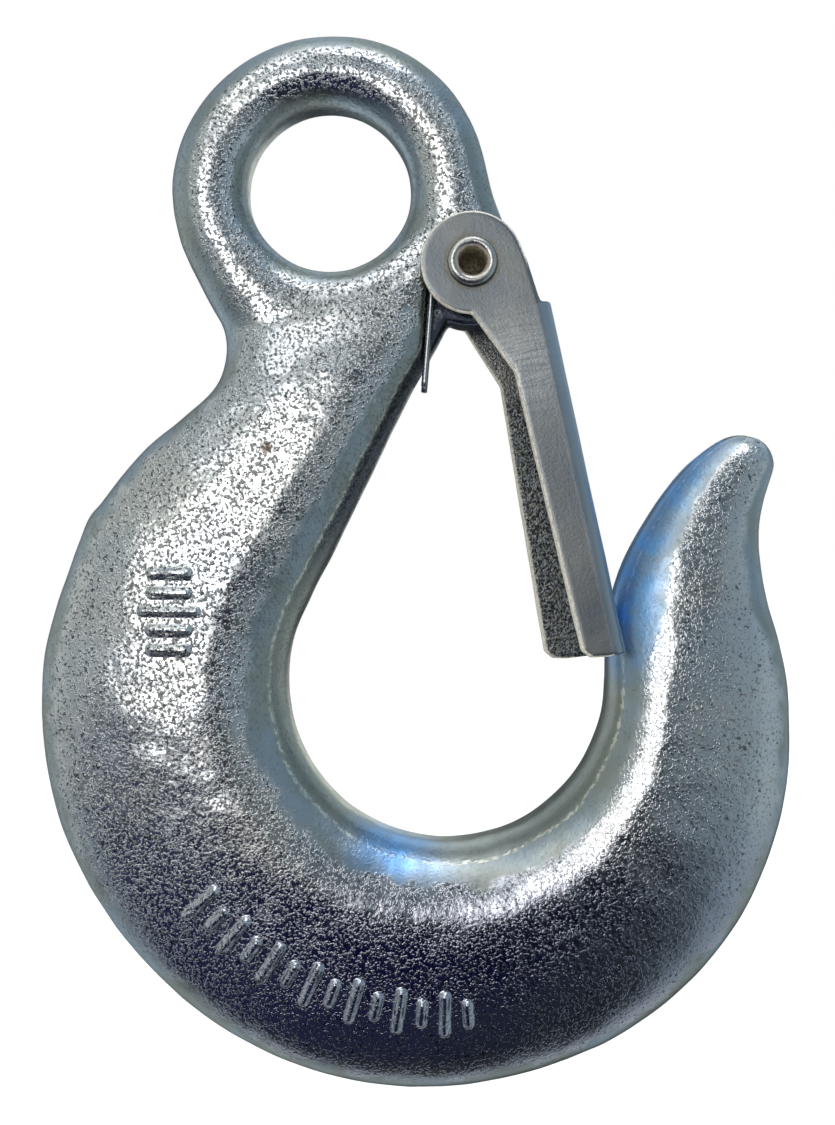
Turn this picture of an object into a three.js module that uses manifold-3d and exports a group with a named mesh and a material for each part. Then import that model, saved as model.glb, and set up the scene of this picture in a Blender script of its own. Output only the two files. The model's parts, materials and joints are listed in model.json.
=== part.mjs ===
// Eye hook with a sprung safety latch, in millimetres.
// The pieces are drawn about the eye's centre. +Z runs up the load line from the bowl's centre to the
// eye's centre, +X points to the tip's side, and the forging's parting plane is y = 0. The finished
// group is lowered so that its origin is the crown of the eye's hole, where the load bears.
import * as THREE from 'three';
import { mergeVertices } from 'three/addons/utils/BufferGeometryUtils.js';
import Module from 'manifold-3d';

const wasm = await Module();
wasm.setup();

// Eye
const EYE_HOLE_RADIUS = 9.5;
const EYE_OUTER_RADIUS = 18.4;
const EYE_HALF_THICKNESS = 4.65;
const EYE_SEGMENTS = 40;

// Bowl
const BOWL_CENTRE = [0, -58.9];
const BOWL_RADIUS = 18.6;

// Pivot lug, pin hole and spring pocket
const PIVOT = [13.8, -13];
const LUG_RADIUS = 6.5;
const LUG_HALF_THICKNESS = 2.4;
const PIN_HOLE_RADIUS = 2.22;
const LUG_SEGMENTS = 20;
const POCKET_REACH = 5;
const POCKET_LEAN = THREE.MathUtils.degToRad(18);
const POCKET_SIZE = 16;

// Forged section
const FLASH_HALF_WIDTH = 0.9;
const INNER_POINTS = 6;
const OUTER_POINTS = 7;
const STEPS_PER_KEY = 2;

// Latch: a channel of sheet whose two walls straddle the lug
const SHEET = 1.2;
const WALL_INSIDE = 5.3;
const WALL_OUTSIDE = WALL_INSIDE + SHEET;
const WEB_OUTSIDE = 7.9;
const BEND_RADIUS = 1.9;
const LATCH_LENGTH = 47;
const EAR_RADIUS = 5.8;
const EAR_HOLE_RADIUS = 2.2;
const LATCH_LEAN = THREE.MathUtils.degToRad(3);
const LATCH_RACK_PER_MM = THREE.MathUtils.degToRad(0.345);
const WEB_TOP = 6.2;
const NOTCH_HALF_WIDTH = 4.4;
const NOTCH_DEPTH = 4.6;
const RACK_STEPS = 8;

// Rivet
const RIVET_RADIUS = 2.15;
const RIVET_BORE_RADIUS = 1.6;
const RIVET_BORE_END = -2;
const RIVET_LIP_RADIUS = 0.62;
const RIVET_HEAD_RADIUS = 3.8;
const RIVET_HEAD_HEIGHT = 1.5;
const RIVET_SLACK = 0.1;
const RIVET_ARC_STEPS = 8;

// Spring
const WIRE_RADIUS = 0.38;
const WIRE_SIDES = 8;
const COIL_RADIUS = 4.3;
const COIL_PITCH = 0.8;
const COIL_FULL_TURNS = 2;
const LEG_LENGTH = 14;
const ARM_ANGLE = THREE.MathUtils.degToRad(6);
const COIL_POINTS = 30;
const SPRING_STEPS = 92;

const CURVE_SEGMENTS = 12;

// ---- solids -------------------------------------------------------------------------------------

function toSolid(geometry) {
  const bare = geometry.clone();
  bare.deleteAttribute('normal');
  bare.deleteAttribute('uv');
  const merged = mergeVertices(bare);
  return new wasm.Manifold(new wasm.Mesh({
    numProp: 3,
    vertProperties: new Float32Array(merged.attributes.position.array),
    triVerts: new Uint32Array(merged.index.array),
  }));
}

function toGeometry(solid) {
  const mesh = solid.getMesh();
  const geometry = new THREE.BufferGeometry();
  geometry.setAttribute('position', new THREE.BufferAttribute(mesh.vertProperties, 3));
  geometry.setIndex(new THREE.BufferAttribute(mesh.triVerts, 1));
  geometry.computeVertexNormals();
  return geometry;
}

// Extrudes a shape drawn in X and Z along Y, from -halfDepth to halfDepth.
function plate(shape, halfDepth, options = {}) {
  const settings = { depth: 2 * halfDepth, bevelEnabled: false, curveSegments: CURVE_SEGMENTS, ...options };
  const geometry = new THREE.ExtrudeGeometry(shape, settings);
  geometry.translate(0, 0, -halfDepth);
  geometry.rotateX(Math.PI / 2);
  return geometry;
}

function circle(x, y, radius) {
  const shape = new THREE.Shape();
  shape.absarc(x, y, radius, 0, 2 * Math.PI);
  return shape;
}

// Skins a row of equal-sized rings of points. A closed row joins its last ring to its first.
function loft(rings, closed) {
  const size = rings[0].length;
  const positions = rings.flat(2);
  const faces = [];
  const spans = closed ? rings.length : rings.length - 1;
  for (let i = 0; i < spans; i++) {
    const here = i * size;
    const next = ((i + 1) % rings.length) * size;
    for (let j = 0; j < size; j++) {
      const k = (j + 1) % size;
      faces.push(here + j, next + j, next + k);
      faces.push(here + j, next + k, here + k);
    }
  }
  if (!closed) {
    for (const end of [0, rings.length - 1]) {
      const middle = [0, 1, 2].map((axis) => rings[end].reduce((sum, p) => sum + p[axis], 0) / size);
      const centre = positions.length / 3;
      positions.push(...middle);
      for (let j = 0; j < size; j++) {
        const k = (j + 1) % size;
        const edge = [end * size + j, end * size + k];
        if (end !== 0) {
          edge.reverse();
        }
        faces.push(centre, ...edge);
      }
    }
  }
  const geometry = new THREE.BufferGeometry();
  geometry.setAttribute('position', new THREE.Float32BufferAttribute(positions, 3));
  geometry.setIndex(faces);
  return geometry;
}

// ---- forged hook --------------------------------------------------------------------------------

// A forged cross-section between an inner and an outer edge point. It rises steeply from the inner
// edge to its crest, then falls gently by the share `slope` to a rounded outer rim. Both edges end
// in the narrow flat land that trimming the flash leaves.
function sectionRing({ inner, outer, half, crest, slope, rim }) {
  const side = [];
  const rise = half - FLASH_HALF_WIDTH;
  for (let i = 0; i <= INNER_POINTS; i++) {
    const turn = (Math.PI / 2) * (i / INNER_POINTS);
    side.push([crest * (1 - Math.cos(turn)), FLASH_HALF_WIDTH + rise * Math.sin(turn)]);
  }
  for (let i = 1; i <= OUTER_POINTS; i++) {
    const reach = Math.sin((Math.PI / 2) * (i / OUTER_POINTS));
    const height = (1 - slope * reach ** 2) * Math.sqrt(Math.max(0, 1 - reach ** rim));
    side.push([crest + (1 - crest) * reach, FLASH_HALF_WIDTH + rise * height]);
  }
  const place = ([share, y]) => [
    inner[0] + (outer[0] - inner[0]) * share,
    y,
    inner[1] + (outer[1] - inner[1]) * share,
  ];
  const back = side.map(place);
  const front = side.map(([share, y]) => place([share, -y])).reverse();
  return [...back, ...front];
}

function polar([x, z], radius, degrees) {
  const angle = THREE.MathUtils.degToRad(degrees);
  return [x + radius * Math.cos(angle), z + radius * Math.sin(angle)];
}

function bump(degrees, centre, width) {
  return Math.exp(-(((degrees - centre) / width) ** 2));
}

// The hole's facets touch its true circle. The eye is a ring that widens below, on the left into the neck and on the right into the lug.
function eyeRing() {
  const rings = [];
  for (let i = 0; i < EYE_SEGMENTS; i++) {
    const degrees = -90 + (i + 0.5) * (360 / EYE_SEGMENTS);
    const towardsLug = 5 * bump(degrees, -38, 17);
    const towardsNeck = 2.6 * (bump(degrees, 235, 25) + bump(degrees, -125, 25));
    const flatterTop = 0.6 * bump(degrees, 100, 40);
    rings.push(sectionRing({
      inner: polar([0, 0], EYE_HOLE_RADIUS / Math.cos(Math.PI / EYE_SEGMENTS), degrees),
      outer: polar([0, 0], EYE_OUTER_RADIUS + towardsLug + towardsNeck - flatterTop, degrees),
      half: EYE_HALF_THICKNESS,
      crest: 0.48,
      slope: 0.1,
      rim: 2.4,
    }));
  }
  return loft(rings, true);
}

// Key sections from the eye's lower wall down the shank: inner edge, outer edge, half thickness.
const SHANK_KEYS = [
  { inner: [12.2, -16], outer: [-15.6, -12.2], half: 4.4, crest: 0.4, slope: 0.1, rim: 4 },
  { inner: [9.4, -19.2], outer: [-16.4, -16.1], half: 5.8, crest: 0.38, slope: 0.15, rim: 5 },
  { inner: [5.1, -23.8], outer: [-18.4, -19.3], half: 6.4, crest: 0.36, slope: 0.24, rim: 6 },
  { inner: [0.4, -29.3], outer: [-22.6, -21.8], half: 6.8, crest: 0.34, slope: 0.32, rim: 7 },
  { inner: [-4.4, -35.1], outer: [-28.3, -24.6], half: 7.1, crest: 0.33, slope: 0.38, rim: 8 },
  { inner: [-9.5, -41.2], outer: [-34.2, -29], half: 7.3, crest: 0.32, slope: 0.42, rim: 8 },
];

// Key sections around the bowl: angle about the bowl's centre, outer radius, half thickness.
const BOWL_KEYS = [
  [145, 45.9, 7.4],
  [165, 47.2, 7.5],
  [185, 48, 7.5],
  [205, 48.1, 7.5],
  [225, 48.2, 7.5],
  [245, 47.8, 7.5],
  [265, 46.8, 7.5],
  [285, 45.8, 7.5],
  [305, 44.2, 7.4],
  [325, 42, 7.1],
  [345, 39.8, 6.7],
];

// Key sections up the tip, which leans away from the bowl and ends in a rounded nose.
const TIP_KEYS = [
  { inner: [19.6, -57.5], outer: [38.5, -58.2], half: 6, crest: 0.42, slope: 0.3, rim: 6 },
  { inner: [21.2, -53.8], outer: [38.7, -55.2], half: 5.6, crest: 0.44, slope: 0.26, rim: 5 },
  { inner: [23.4, -50.3], outer: [39.1, -52.3], half: 5.3, crest: 0.42, slope: 0.22, rim: 4 },
  { inner: [26.2, -47], outer: [39.8, -49.6], half: 4.9, crest: 0.44, slope: 0.18, rim: 3.6 },
  { inner: [29.4, -43.9], outer: [40.9, -47.1], half: 4.5, crest: 0.46, slope: 0.14, rim: 3.2 },
  { inner: [32.9, -41.2], outer: [42.2, -44.9], half: 4.1, crest: 0.48, slope: 0.1, rim: 2.8 },
  { inner: [36, -39.6], outer: [43.1, -43.2], half: 3.6, crest: 0.5, slope: 0.05, rim: 2.5 },
  { inner: [38.5, -38.8], outer: [43, -41.3], half: 2.7, crest: 0.5, slope: 0, rim: 2.2 },
  { inner: [40.3, -38.9], outer: [42.2, -39.9], half: 1.4, crest: 0.5, slope: 0, rim: 2 },
];

function bowlKey([degrees, outerRadius, half]) {
  return {
    inner: polar(BOWL_CENTRE, BOWL_RADIUS, degrees),
    outer: polar(BOWL_CENTRE, outerRadius, degrees),
    half,
    crest: 0.33,
    slope: 0.42,
    rim: 8,
    inBowl: true,
  };
}

function catmullRom(a, b, c, d, t) {
  const rise = (c - a) / 2;
  const leave = (d - b) / 2;
  return (2 * (b - c) + rise + leave) * t ** 3 + (3 * (c - b) - 2 * rise - leave) * t ** 2 + rise * t + b;
}

// A smooth section between keys b and c, at share t. Along the bowl the inner edge is a true circle.
function blendKeys([a, b, c, d], t) {
  const mix = (read) => catmullRom(read(a), read(b), read(c), read(d), t);
  let inner = [mix((k) => k.inner[0]), mix((k) => k.inner[1])];
  if (b.inBowl && c.inBowl) {
    const dx = inner[0] - BOWL_CENTRE[0];
    const dz = inner[1] - BOWL_CENTRE[1];
    const scale = BOWL_RADIUS / Math.hypot(dx, dz);
    inner = [BOWL_CENTRE[0] + dx * scale, BOWL_CENTRE[1] + dz * scale];
  }
  return {
    inner,
    outer: [mix((k) => k.outer[0]), mix((k) => k.outer[1])],
    half: mix((k) => k.half),
    crest: mix((k) => k.crest),
    slope: Math.max(0, mix((k) => k.slope)),
    rim: mix((k) => k.rim),
  };
}

function shankBowlAndTip() {
  const keys = [...SHANK_KEYS, ...BOWL_KEYS.map(bowlKey), ...TIP_KEYS];
  const last = keys.length - 1;
  const rings = [];
  for (let i = 0; i < last; i++) {
    const four = [keys[Math.max(0, i - 1)], keys[i], keys[i + 1], keys[Math.min(last, i + 2)]];
    for (let step = 0; step < STEPS_PER_KEY; step++) {
      rings.push(sectionRing(blendKeys(four, step / STEPS_PER_KEY)));
    }
  }
  rings.push(sectionRing(keys[last]));
  return loft(rings, false);
}

// The pocket beside the lug makes room for a spring coil and its leg. One straight wall leans with
// the leg, the other runs level over the pivot, and a round corner joins them.
function pocketShape() {
  const corner = new THREE.Shape();
  const down = [-Math.sin(POCKET_LEAN), -Math.cos(POCKET_LEAN)];
  const start = polar(PIVOT, POCKET_REACH, 180 - THREE.MathUtils.radToDeg(POCKET_LEAN));
  corner.moveTo(PIVOT[0] + POCKET_SIZE, PIVOT[1] + POCKET_REACH);
  corner.lineTo(PIVOT[0], PIVOT[1] + POCKET_REACH);
  corner.absarc(PIVOT[0], PIVOT[1], POCKET_REACH, Math.PI / 2, Math.PI - POCKET_LEAN, false);
  corner.lineTo(start[0] + POCKET_SIZE * down[0], start[1] + POCKET_SIZE * down[1]);
  corner.lineTo(PIVOT[0] + POCKET_SIZE, start[1] + POCKET_SIZE * down[1]);
  return corner;
}

function hookBody() {
  const lugCircle = circle(PIVOT[0], PIVOT[1], LUG_RADIUS);
  const lug = toSolid(plate(lugCircle, LUG_HALF_THICKNESS, { curveSegments: LUG_SEGMENTS }));
  const pinHole = toSolid(plate(circle(PIVOT[0], PIVOT[1], PIN_HOLE_RADIUS), 2 * LUG_RADIUS));
  let body = toSolid(eyeRing()).add(toSolid(shankBowlAndTip()));
  for (const side of [-1, 1]) {
    const pocket = plate(pocketShape(), POCKET_SIZE / 2, { curveSegments: 8 });
    pocket.translate(0, side * (POCKET_SIZE / 2 + LUG_HALF_THICKNESS), 0);
    body = body.subtract(toSolid(pocket));
  }
  return toGeometry(body.add(lug).subtract(pinHole));
}

// ---- latch --------------------------------------------------------------------------------------

// Leans the latch about the pivot axis. The channel is racked: one wall leans a little more than
// the other, in proportion to y. Its geometry is drawn with the pivot at the origin, hanging down.
function hang(geometry) {
  const position = geometry.attributes.position;
  for (let i = 0; i < position.count; i++) {
    const [x, y, z] = [position.getX(i), position.getY(i), position.getZ(i)];
    const lean = LATCH_LEAN + LATCH_RACK_PER_MM * y;
    position.setXYZ(
      i,
      PIVOT[0] + x * Math.cos(lean) + z * Math.sin(lean),
      y,
      PIVOT[1] - x * Math.sin(lean) + z * Math.cos(lean),
    );
  }
  return geometry;
}

// Side view of the latch: round ear, neck, elbow, parallel wall, chamfered tail, and the step at
// the top of the web.
function latchOutline() {
  const shape = new THREE.Shape();
  const neck = THREE.MathUtils.degToRad(257);
  const shoulder = THREE.MathUtils.degToRad(372);
  shape.moveTo(EAR_RADIUS * Math.cos(neck), EAR_RADIUS * Math.sin(neck));
  shape.lineTo(2, -13.1);
  shape.lineTo(2.65, 1.3 - LATCH_LENGTH);
  shape.lineTo(3.5, 0.3 - LATCH_LENGTH);
  shape.lineTo(5.2, -LATCH_LENGTH);
  shape.lineTo(WEB_OUTSIDE + 1, -LATCH_LENGTH);
  shape.lineTo(WEB_OUTSIDE + 1, -WEB_TOP);
  shape.lineTo(6.6, -6);
  shape.lineTo(6.45, -5);
  shape.lineTo(6.1, -1.2);
  shape.absarc(0, 0, EAR_RADIUS, shoulder - 2 * Math.PI, neck, false);
  shape.holes.push(circle(0, 0, EAR_HOLE_RADIUS));
  return shape;
}

// Cross-section of the channel, drawn with x outward and y across: a flat web, two bends, two walls.
function channelProfile() {
  const shape = new THREE.Shape();
  const bend = WEB_OUTSIDE - BEND_RADIUS;
  const flat = WALL_OUTSIDE - BEND_RADIUS;
  const insideBend = BEND_RADIUS - SHEET;
  const wallEnd = -2 * EAR_RADIUS;
  shape.moveTo(wallEnd, -WALL_OUTSIDE);
  shape.lineTo(bend, -WALL_OUTSIDE);
  shape.absarc(bend, -flat, BEND_RADIUS, -Math.PI / 2, 0, false);
  shape.lineTo(WEB_OUTSIDE, flat);
  shape.absarc(bend, flat, BEND_RADIUS, 0, Math.PI / 2, false);
  shape.lineTo(wallEnd, WALL_OUTSIDE);
  shape.lineTo(wallEnd, WALL_INSIDE);
  shape.lineTo(bend, WALL_INSIDE);
  shape.absarc(bend, flat, insideBend, Math.PI / 2, 0, true);
  shape.lineTo(WEB_OUTSIDE - SHEET, -flat);
  shape.absarc(bend, -flat, insideBend, 0, -Math.PI / 2, true);
  shape.lineTo(wallEnd, -WALL_INSIDE);
  return shape;
}

function latch() {
  const above = 2 * EAR_RADIUS;
  const channel = new THREE.ExtrudeGeometry(channelProfile(), {
    depth: LATCH_LENGTH + above + 1,
    steps: RACK_STEPS,
    bevelEnabled: false,
    curveSegments: 5,
  });
  channel.rotateX(Math.PI);
  channel.translate(0, 0, above);
  const outline = plate(latchOutline(), 2 * WALL_OUTSIDE, { steps: RACK_STEPS });
  const relief = new THREE.Shape();
  relief.absellipse(0, 0, NOTCH_HALF_WIDTH, NOTCH_DEPTH, 0, 2 * Math.PI);
  const notch = new THREE.ExtrudeGeometry(relief, {
    depth: 2 * BEND_RADIUS,
    bevelEnabled: false,
    curveSegments: CURVE_SEGMENTS,
  });
  notch.rotateZ(Math.PI / 2);
  notch.rotateY(Math.PI / 2);
  notch.translate(WEB_OUTSIDE - BEND_RADIUS, 0, -LATCH_LENGTH);
  const sheet = toSolid(hang(channel)).intersect(toSolid(hang(outline)));
  return toGeometry(sheet.subtract(toSolid(hang(notch))));
}

// ---- rivet --------------------------------------------------------------------------------------

// Semi-tubular rivet: its hollow end is rolled out at the front (-Y), its solid head is at the back.
function pivotRivet() {
  const face = WALL_OUTSIDE + RIVET_SLACK;
  const lipCentre = RIVET_BORE_RADIUS + RIVET_LIP_RADIUS;
  const drillPoint = 0.5;
  const profile = [
    new THREE.Vector2(0, RIVET_BORE_END),
    new THREE.Vector2(RIVET_BORE_RADIUS - 0.1, RIVET_BORE_END - drillPoint),
  ];
  for (let i = 0; i <= RIVET_ARC_STEPS; i++) {
    const turn = Math.PI * (1 - i / RIVET_ARC_STEPS);
    profile.push(new THREE.Vector2(
      lipCentre + RIVET_LIP_RADIUS * Math.cos(turn),
      -face - RIVET_LIP_RADIUS * (0.5 + Math.sin(turn)),
    ));
  }
  profile.push(new THREE.Vector2(lipCentre + RIVET_LIP_RADIUS, -face));
  profile.push(new THREE.Vector2(RIVET_RADIUS, -face));
  profile.push(new THREE.Vector2(RIVET_RADIUS, face));
  for (let i = 0; i < RIVET_ARC_STEPS; i++) {
    const turn = (Math.PI / 2) * (i / RIVET_ARC_STEPS);
    const height = face + RIVET_HEAD_HEIGHT * Math.sin(turn);
    profile.push(new THREE.Vector2(RIVET_HEAD_RADIUS * Math.cos(turn), height));
  }
  profile.push(new THREE.Vector2(0, face + RIVET_HEAD_HEIGHT));
  const geometry = new THREE.LatheGeometry(profile, 2 * CURVE_SEGMENTS);
  geometry.translate(PIVOT[0], 0, PIVOT[1]);
  return toGeometry(toSolid(geometry));
}

// ---- spring -------------------------------------------------------------------------------------

// Points from the end of a coil along its arm to the middle of the loop that bears on the web:
// distance outward from the pivot, distance inward from the coil's end along Y, drop below the pivot.
const ARM_POINTS = [
  [4.7, 0, 4.5],
  [4.95, 0.3, 9],
  [5, 0.8, 13],
  [4.95, 1.8, 15.6],
];
const LOOP_MIDDLE = [4.95, 16.2];

// Half of the double torsion spring, on the side y > 0: leg end, leg, coil, and arm to the loop.
function springHalf() {
  const points = [];
  const firstY = LUG_HALF_THICKNESS + WIRE_RADIUS + 0.1;
  const startAngle = Math.PI - POCKET_LEAN;
  const wound = startAngle - ARM_ANGLE + 2 * Math.PI * COIL_FULL_TURNS;
  for (const share of [1, 2 / 3, 1 / 3]) {
    const [topX, topZ] = polar(PIVOT, COIL_RADIUS, THREE.MathUtils.radToDeg(startAngle));
    const along = LEG_LENGTH * share;
    points.push([topX - along * Math.sin(POCKET_LEAN), firstY, topZ - along * Math.cos(POCKET_LEAN)]);
  }
  for (let i = 0; i <= COIL_POINTS; i++) {
    const turned = (wound * i) / COIL_POINTS;
    const [x, z] = polar(PIVOT, COIL_RADIUS, THREE.MathUtils.radToDeg(startAngle - turned));
    points.push([x, firstY + (COIL_PITCH * turned) / (2 * Math.PI), z]);
  }
  const lastY = points[points.length - 1][1];
  for (const [outward, inward, drop] of ARM_POINTS) {
    points.push([PIVOT[0] + outward, lastY - inward, PIVOT[1] - drop]);
  }
  return points;
}

function latchSpring() {
  const back = springHalf();
  const front = back.map(([x, y, z]) => [x, -y, z]).reverse();
  const middle = [PIVOT[0] + LOOP_MIDDLE[0], 0, PIVOT[1] - LOOP_MIDDLE[1]];
  const points = [...back, middle, ...front];
  const path = new THREE.CatmullRomCurve3(points.map((p) => new THREE.Vector3(...p)));
  const geometry = new THREE.ExtrudeGeometry(circle(0, 0, WIRE_RADIUS), {
    extrudePath: path,
    steps: SPRING_STEPS,
    curveSegments: WIRE_SIDES / 2,
    bevelEnabled: false,
  });
  return toGeometry(toSolid(geometry));
}

// ---- assembly -----------------------------------------------------------------------------------

function metal(colour, roughness) {
  return new THREE.MeshStandardMaterial({ color: colour, roughness, metalness: 1 });
}

const pieces = [
  ['hook_body', hookBody(), metal(0x9ba3a6, 0.45)],
  ['latch', latch(), metal(0x9aa5a8, 0.35)],
  ['latch_spring', latchSpring(), metal(0x5a5f66, 0.3)],
  ['pivot_rivet', pivotRivet(), metal(0x8f8a7c, 0.35)],
];

const group = new THREE.Group();
group.position.z = -EYE_HOLE_RADIUS;
for (const [name, geometry, material] of pieces) {
  const mesh = new THREE.Mesh(geometry, material);
  mesh.name = name;
  group.add(mesh);
}

export default group;
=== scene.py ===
"""Eye hook with a sprung safety latch: the visual model, its materials, stage, light and camera."""
import json
import math

import bmesh
import bpy
import numpy as np
from mathutils import Matrix, Vector
from mathutils.kdtree import KDTree


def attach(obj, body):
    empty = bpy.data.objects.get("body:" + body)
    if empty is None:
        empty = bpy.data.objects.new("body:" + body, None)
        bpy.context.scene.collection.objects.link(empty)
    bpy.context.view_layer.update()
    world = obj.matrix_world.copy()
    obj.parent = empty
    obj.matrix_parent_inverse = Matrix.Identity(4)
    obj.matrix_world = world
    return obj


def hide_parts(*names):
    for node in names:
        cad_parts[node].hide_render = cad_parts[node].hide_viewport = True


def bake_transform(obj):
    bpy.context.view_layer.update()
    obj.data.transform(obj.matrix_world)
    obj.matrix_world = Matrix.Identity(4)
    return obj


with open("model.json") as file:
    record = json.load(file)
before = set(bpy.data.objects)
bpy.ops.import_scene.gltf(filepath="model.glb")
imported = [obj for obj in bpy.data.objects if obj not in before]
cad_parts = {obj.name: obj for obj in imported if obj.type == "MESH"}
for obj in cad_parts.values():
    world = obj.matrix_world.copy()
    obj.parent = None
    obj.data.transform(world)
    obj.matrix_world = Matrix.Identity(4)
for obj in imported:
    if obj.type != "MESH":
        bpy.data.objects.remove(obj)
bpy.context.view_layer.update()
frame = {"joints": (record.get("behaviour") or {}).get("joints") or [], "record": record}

MM = 0.001

# Every shape below is drawn in millimetres about the eye's centre, which lies one hole radius below
# the frame's origin. +Z runs up the load line and +X points to the tip's side.
EYE_HOLE_RADIUS = 9.5
MOUNTS = {m["name"]: np.array(m["pos_m"]) / MM for m in frame["record"]["mounts"]}
EYE_CENTRE = MOUNTS["eye_seat"] - (0, 0, EYE_HOLE_RADIUS)
PIVOT = np.array(frame["joints"][0]["pos_m"]) / MM - EYE_CENTRE
PIVOT_XZ = PIVOT[[0, 2]]

# Forged hook. The eye's rim leaves its circle at three angles: by how much, at which angle, how wide.
HOOK_VOXEL = 0.38
EYE_OUTER_RADIUS = 18.4
EYE_HALF_THICKNESS = 4.65
EYE_CREST = 0.48
EYE_FALL = 0.1
EYE_RIM = 2.4
EYE_TO_LUG = (5.0, -38, 17)
EYE_TO_NECK = (2.6, 235, 25)
EYE_FLAT_TOP = (-0.6, 100, 40)
BOWL_CENTRE = np.array([0.0, -58.9])
BOWL_RADIUS = 18.6
LUG_RADIUS = 6.5
LUG_HALF_THICKNESS = 2.4
PIN_HOLE_RADIUS = 2.22
POCKET_REACH = 5.0
POCKET_LEAN = math.radians(18)
POCKET_SIZE = 16.0
POCKET_MARGIN = 0.15
FLASH_HALF_WIDTH = 0.9

# The neck between eye and shank, by distance from the eye's centre and by depth below it
NECK_START = (10.5, 13.0)
NECK_END = (24.0, 30.0)
NECK_DROP = (2.0, 7.0)
NECK_PULL = 0.55
NECK_ROUNDS = 60

# Latch sheet
LATCH_VOXEL = 0.13
SHEET = 1.2
WALL_INSIDE = 5.3
WALL_OUTSIDE = WALL_INSIDE + SHEET
WEB_OUTSIDE = 7.9
WEB_TOP = 6.2
BEND_RADIUS = 1.9
LATCH_LENGTH = 47.0
EAR_RADIUS = 5.8
EAR_HOLE_RADIUS = 2.2
LATCH_LEAN = math.radians(3)
LATCH_RACK_PER_MM = math.radians(0.345)
NOTCH_HALF_WIDTH = 4.4
NOTCH_DEPTH = 4.6
EAR_CUT_REACH = 10.0
EDGE_RADIUS = 0.22
EDGE_ANGLE = math.radians(40)
ROLL_WIDTH = 0.55
ROLL_DEPTH = 0.06

# Rivet and spring
RIVET_RADIUS = 2.15
RIVET_BORE_RADIUS = 1.6
RIVET_BORE_END = -2.0
RIVET_LIP_RADIUS = 0.62
RIVET_HEAD_RADIUS = 3.8
RIVET_HEAD_HEIGHT = 1.5
RIVET_HEAD_RIM = 0.12
RIVET_SLACK = 0.1
WIRE_RADIUS = 0.38
WIRE_END_SHARE = 0.72
WIRE_END_LENGTH = 0.1
COIL_RADIUS = 4.3
COIL_PITCH = 0.8
COIL_FULL_TURNS = 2
LEG_LENGTH = 14.0
ARM_ANGLE = math.radians(6)


# ---- mesh helpers ----

def new_object(name, vertices_mm, faces):
    """A mesh object from vertices in millimetres about the eye's centre."""
    mesh = bpy.data.meshes.new(name)
    vertices = (np.asarray(vertices_mm) + EYE_CENTRE) * MM
    mesh.from_pydata(vertices.tolist(), [], [list(f) for f in faces])
    mesh.update()
    obj = bpy.data.objects.new(name, mesh)
    bpy.context.scene.collection.objects.link(obj)
    return obj


def read_points(obj):
    points = np.zeros(len(obj.data.vertices) * 3, np.float32)
    obj.data.vertices.foreach_get("co", points)
    return points.reshape(-1, 3).astype(float) / MM - EYE_CENTRE


def write_points(obj, points_mm):
    metres = (points_mm + EYE_CENTRE) * MM
    obj.data.vertices.foreach_set("co", metres.astype(np.float32).ravel())
    obj.data.update()


def read_normals(obj):
    normals = np.zeros(len(obj.data.vertices) * 3, np.float32)
    obj.data.vertices.foreach_get("normal", normals)
    return normals.reshape(-1, 3).astype(float)


def apply_modifier(obj, kind, **settings):
    modifier = obj.modifiers.new(kind.lower(), kind)
    for key, value in settings.items():
        setattr(modifier, key, value)
    evaluated = obj.evaluated_get(bpy.context.evaluated_depsgraph_get())
    mesh = bpy.data.meshes.new_from_object(evaluated)
    obj.modifiers.clear()
    old = obj.data
    obj.data = mesh
    bpy.data.meshes.remove(old)
    return obj


def remesh(obj, voxel_mm):
    return apply_modifier(obj, "REMESH", mode="VOXEL", voxel_size=voxel_mm * MM)


def boolean(obj, operation, tool):
    apply_modifier(obj, "BOOLEAN", operation=operation, object=tool, solver="EXACT")
    bpy.data.objects.remove(tool)


def loft(rings, closed):
    """Vertices and faces that skin a row of equal-sized rings of points."""
    count, size = len(rings), len(rings[0])
    vertices = np.concatenate(rings)
    faces = []
    for i in range(count if closed else count - 1):
        here, after = i * size, ((i + 1) % count) * size
        for j in range(size):
            k = (j + 1) % size
            faces.append((here + j, after + j, after + k, here + k))
    if not closed:
        faces.append(tuple(range(size)))
        faces.append(tuple(reversed(range((count - 1) * size, count * size))))
    return vertices, faces


def prism(name, outline, low, high, axis):
    """A closed prism along an axis, over an outline of points in X and Z for axis "y" or in X and Y
    for axis "z"."""
    rings = []
    for level in (low, high):
        ring = [(a, level, b) if axis == "y" else (a, b, level) for a, b in outline]
        rings.append(np.array(ring, float))
    obj = new_object(name, *loft(rings, closed=False))
    face_outward(obj)
    return obj


def face_outward(obj):
    edit = bmesh.new()
    edit.from_mesh(obj.data)
    bmesh.ops.recalc_face_normals(edit, faces=edit.faces)
    edit.to_mesh(obj.data)
    edit.free()


def join(objects):
    base = objects[0]
    edit = bmesh.new()
    for obj in objects:
        edit.from_mesh(obj.data)
    edit.to_mesh(base.data)
    edit.free()
    for obj in objects[1:]:
        bpy.data.objects.remove(obj)
    return base


def arc(centre, radius, start, end, steps):
    angles = np.linspace(start, end, steps + 1)
    return [(centre[0] + radius * math.cos(a), centre[1] + radius * math.sin(a)) for a in angles]


def circle(centre, radius, count):
    return arc(centre, radius, 0, 2 * math.pi * (count - 1) / count, count - 1)


def smoothstep(low, high, value):
    t = np.clip((value - low) / (high - low), 0, 1)
    return t * t * (3 - 2 * t)


def edge_pairs(obj):
    pairs = np.zeros(len(obj.data.edges) * 2, np.int32)
    obj.data.edges.foreach_get("vertices", pairs)
    return pairs.reshape(-1, 2)


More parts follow.
